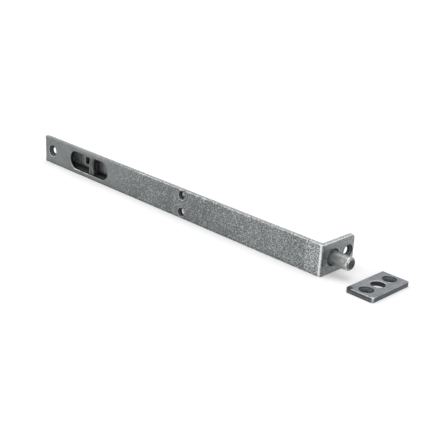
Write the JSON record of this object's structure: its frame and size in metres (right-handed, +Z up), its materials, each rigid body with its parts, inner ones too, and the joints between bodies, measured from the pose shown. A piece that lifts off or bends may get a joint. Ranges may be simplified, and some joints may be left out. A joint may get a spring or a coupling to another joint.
{
  "type": "door bolt",
  "caption": "Flush door bolt with a long flanged face plate, a finger bar in a slot that slides a round bolt through the flange, and a loose keep plate.",
  "frame": {"origin": "where the bolt's axis leaves the flange's outer face", "axes": "+X along the bolt towards its nose, +Y from the plate's face into the door, +Z up, square to the long edge that it lies on"},
  "size_m": [0.2913, 0.033, 0.019],
  "materials": {
    "pewter_plate": "aged pewter patina, forged texture, edges rubbed bright",
    "keep_steel": "aged pewter patina, finely brushed",
    "pan_sheet": "blackened pressed sheet",
    "slide_steel": "blackened flat bar, worn",
    "bar_steel": "aged pewter patina, worn front edges",
    "bolt_steel": "satin turned steel with a grey patina",
    "rod_steel": "drawn rod, grey patina",
    "spring_steel": "blued spring steel",
    "rivet_steel": "hammered rivet heads",
    "weld_metal": "dark weld bead"
  },
  "bodies": {
    "plate": {"face_plate": "pewter_plate", "slot_pan": "pan_sheet", "pan_welds": "weld_metal", "leaf_spring": "spring_steel", "leaf_rivet": "rivet_steel", "rod_guide": "pan_sheet", "guide_welds": "weld_metal"},
    "bolt": {"slide_strip": "slide_steel", "finger_bar": "bar_steel", "drive_rod": "rod_steel", "strip_rivets": "rivet_steel", "bolt_head": "bolt_steel", "cross_pin": "rivet_steel"},
    "keep": {"keep_plate": "keep_steel"}
  },
  "joints": [
    {"name": "bolt_slide", "type": "slide", "parent": "plate", "child": "bolt", "axis": [1, 0, 0], "range_m": [-0.0125, 0.0075]},
    {"name": "keep_lift", "type": "slide", "parent": "plate", "child": "keep", "axis": [0, 0, 1], "range_m": [0, 0.06]}
  ]
}
